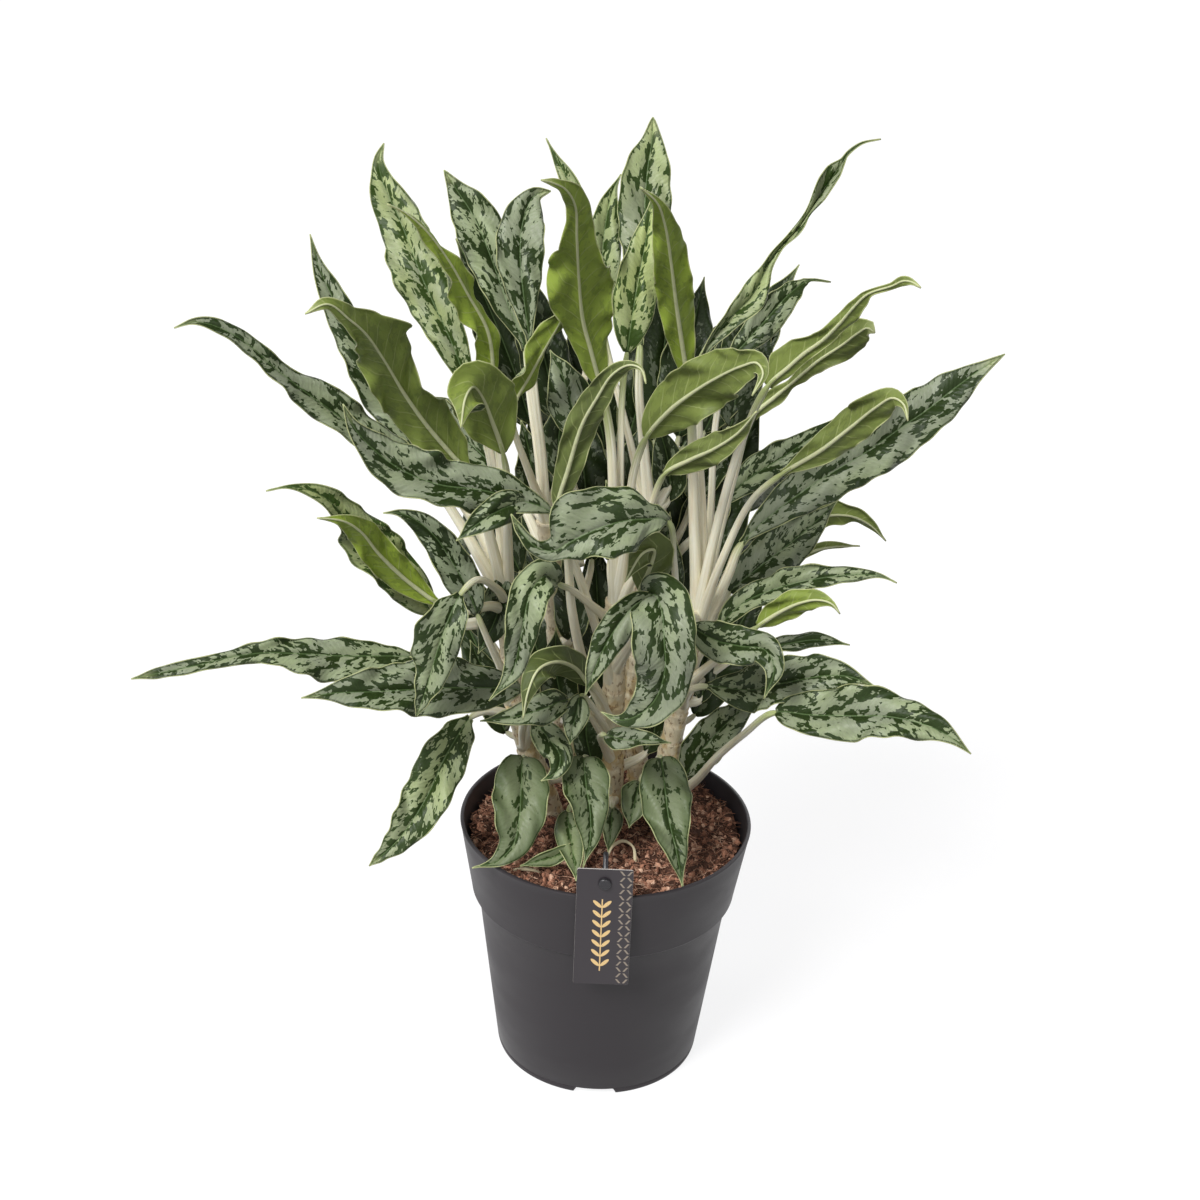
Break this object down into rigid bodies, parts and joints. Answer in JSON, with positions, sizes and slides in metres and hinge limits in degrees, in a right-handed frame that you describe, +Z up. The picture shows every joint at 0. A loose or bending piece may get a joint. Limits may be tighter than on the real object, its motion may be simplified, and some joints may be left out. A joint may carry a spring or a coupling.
{
  "type": "potted chinese evergreen",
  "caption": "Bushy potted foliage plant with long wavy silver-green patterned leaves on pale stalks, in a dark nursery pot with a hanging tag.",
  "frame": {"origin": "centre of the flat pad under the pot, on the surface the pot stands on", "axes": "+Z up along the pot's axis; -Y towards the front, where the tag hangs; +X to the right as seen from the front"},
  "size_m": [0.5722, 0.388, 0.6829],
  "materials": {
    "pot": "matt moulded charcoal plastic with a faint sheen",
    "soil": "loose reddish-brown coir and peat, fully rough",
    "tag": "coated near-black card with a printed motif and a pale patterned strip",
    "peg": "dark moulded plastic",
    "cane": "cream stalks on beige ringed canes, satin and faintly channelled",
    "leaf": "satin leaf, silver-green with dark green feathering, olive underneath"
  },
  "bodies": {
    "root": {"pot": "pot", "soil": "soil", "tag_card": "tag", "tag_peg": "peg", "stem_back_left": "cane", "stem_back_right": "cane", "stem_centre": "cane", "stem_left": "cane", "stem_right": "cane", "leaf_centre_bright": "leaf", "leaf_centre_curled": "leaf", "leaf_centre_dark": "leaf", "leaf_centre_droop": "leaf", "leaf_centre_foot": "leaf", "leaf_centre_left": "leaf", "leaf_centre_long": "leaf", "leaf_centre_olive": "leaf", "leaf_centre_right_high": "leaf", "leaf_centre_right_small": "leaf", "leaf_centre_tucked": "leaf", "leaf_crown_back_left": "leaf", "leaf_crown_back_middle": "leaf", "leaf_crown_back_narrow": "leaf", "leaf_crown_back_right": "leaf", "leaf_crown_left": "leaf", "leaf_crown_left_pale": "leaf", "leaf_crown_top": "leaf", "leaf_crown_yellow": "leaf", "leaf_far_left": "leaf", "leaf_far_right": "leaf", "leaf_left_band": "leaf", "leaf_left_dark": "leaf", "leaf_left_droop": "leaf", "leaf_left_far": "leaf", "leaf_left_folded": "leaf", "leaf_left_foot": "leaf", "leaf_left_front": "leaf", "leaf_left_hang": "leaf", "leaf_left_high": "leaf", "leaf_left_light": "leaf", "leaf_left_low": "leaf", "leaf_left_mid": "leaf", "leaf_left_pale": "leaf", "leaf_right_back": "leaf", "leaf_right_bright": "leaf", "leaf_right_crown": "leaf", "leaf_right_dark": "leaf", "leaf_right_droop": "leaf", "leaf_right_folded": "leaf", "leaf_right_foot": "leaf", "leaf_right_hook": "leaf", "leaf_right_long": "leaf", "leaf_right_low": "leaf", "leaf_right_lowest": "leaf", "leaf_right_mid": "leaf", "leaf_right_pale": "leaf", "leaf_right_rising": "leaf", "leaf_right_round": "leaf", "leaf_right_shelf": "leaf", "leaf_right_twisted": "leaf"}
  },
  "joints": []
}
